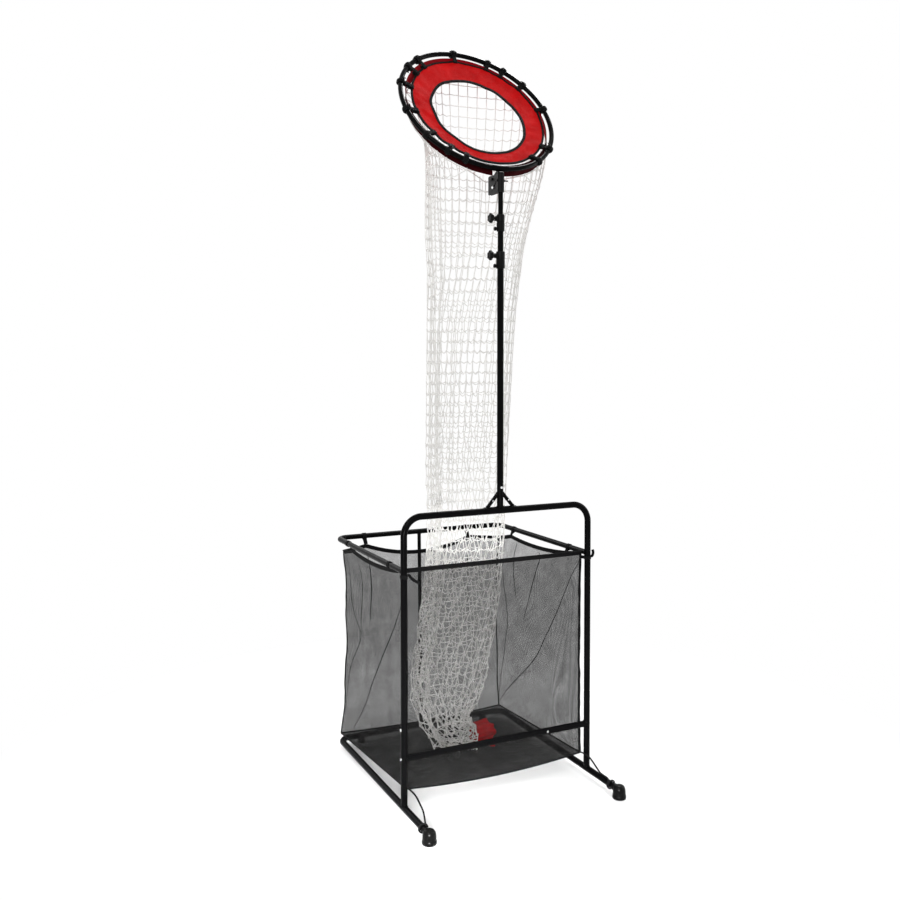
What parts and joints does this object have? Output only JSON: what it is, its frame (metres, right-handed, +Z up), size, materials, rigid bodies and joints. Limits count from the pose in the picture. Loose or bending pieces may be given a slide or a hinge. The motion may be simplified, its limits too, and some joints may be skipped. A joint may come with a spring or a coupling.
{
  "type": "volleyball practice net",
  "caption": "Tilting catching ring with a fabric target and a net sleeve on a telescoping mast, over a floor frame with a hanging mesh ball basket.",
  "frame": {"origin": "on the floor, under the middle of the object's width and depth", "axes": "+Z up along the mast, +X to the object's right seen from the front, -Y towards the player, the side the ring faces"},
  "size_m": [0.8533, 1.0006, 2.9442],
  "materials": {
    "powder_coat": "satin black powder coat",
    "bracket_plate": "satin dark grey",
    "zinc": "bright zinc plate",
    "black_plastic": "matte black",
    "black_rubber": "black, slightly glossy",
    "black_webbing": "woven black webbing and cord",
    "mesh_fabric": "fine black see-through mesh",
    "red_fabric": "red woven fabric",
    "dark_red_fabric": "dark red woven fabric",
    "net_cord": "off-white knotted cord"
  },
  "bodies": {
    "stand": {"base_frame": "powder_coat", "front_frame": "powder_coat", "left_lower_leg": "powder_coat", "right_lower_leg": "powder_coat", "front_crossbar": "powder_coat", "basket_hoop": "powder_coat", "rear_post": "powder_coat", "left_front_foot": "black_rubber", "right_front_foot": "black_rubber", "left_rear_foot": "black_rubber", "right_rear_foot": "black_rubber", "mast_socket": "powder_coat", "mast_lower_tube": "powder_coat", "lower_clamp_collar": "black_plastic", "net_sleeve": "net_cord", "net_cuff": "dark_red_fabric", "mesh_basket": "mesh_fabric", "basket_hem": "black_webbing", "left_side_hanger_front": "black_webbing", "left_side_hanger_rear": "black_webbing", "right_side_hanger_front": "black_webbing", "right_side_hanger_rear": "black_webbing", "rear_hanger_left": "black_webbing", "rear_hanger_right": "black_webbing", "left_corner_tie": "black_webbing", "right_corner_tie": "black_webbing", "left_tie_cord": "black_webbing", "right_tie_cord": "black_webbing", "left_leg_screw": "zinc", "right_leg_screw": "zinc", "left_crossbar_screw": "zinc", "right_crossbar_screw": "zinc", "socket_screw": "zinc"},
    "mast_middle": {"mast_middle_tube": "powder_coat", "upper_clamp_collar": "black_plastic"},
    "mast_upper": {"mast_upper_tube": "powder_coat", "tilt_sleeve": "bracket_plate", "tilt_pivot_bolt": "bracket_plate", "sleeve_bolt": "bracket_plate"},
    "ring_head": {"ring_ferrule": "powder_coat", "ring_tube": "powder_coat", "target_panel": "red_fabric", "target_inner_piping": "black_webbing", "target_straps": "black_webbing", "net_collar": "dark_red_fabric", "tilt_lock_bolt": "zinc"},
    "lower_knob": {"lower_clamp_knob": "black_plastic"},
    "upper_knob": {"upper_clamp_knob": "black_plastic"},
    "lower_pin": {"lower_pull_pin": "black_plastic"},
    "upper_pin": {"upper_pull_pin": "black_plastic"}
  },
  "joints": [
    {"name": "mast_middle_slide", "type": "slide", "parent": "stand", "child": "mast_middle", "axis": [0, 0, 1], "range_m": [-0.07, 0.3], "deforming": ["net_sleeve"]},
    {"name": "mast_upper_slide", "type": "slide", "parent": "mast_middle", "child": "mast_upper", "axis": [0, 0, 1], "range_m": [-0.078, 0.25], "deforming": ["net_sleeve"]},
    {"name": "ring_tilt", "type": "hinge", "parent": "mast_upper", "child": "ring_head", "pos_m": [0, -0.19485, 2.372], "axis": [1, 0, 0], "range_deg": [-55, 0], "deforming": ["net_sleeve"]},
    {"name": "lower_knob_turn", "type": "hinge", "parent": "stand", "child": "lower_knob", "pos_m": [-0.0268, -0.25085, 2.074], "axis": [-1, 0, 0], "range_deg": [-540, 0]},
    {"name": "upper_knob_turn", "type": "hinge", "parent": "mast_middle", "child": "upper_knob", "pos_m": [-0.0253, -0.25085, 2.214], "axis": [-1, 0, 0], "range_deg": [-540, 0]},
    {"name": "lower_pin_pull", "type": "slide", "parent": "stand", "child": "lower_pin", "axis": [-1, 0, 0], "range_m": [0, 0.008], "stiffness_N_per_m": 300},
    {"name": "upper_pin_pull", "type": "slide", "parent": "mast_middle", "child": "upper_pin", "axis": [-1, 0, 0], "range_m": [0, 0.008], "stiffness_N_per_m": 300}
  ]
}
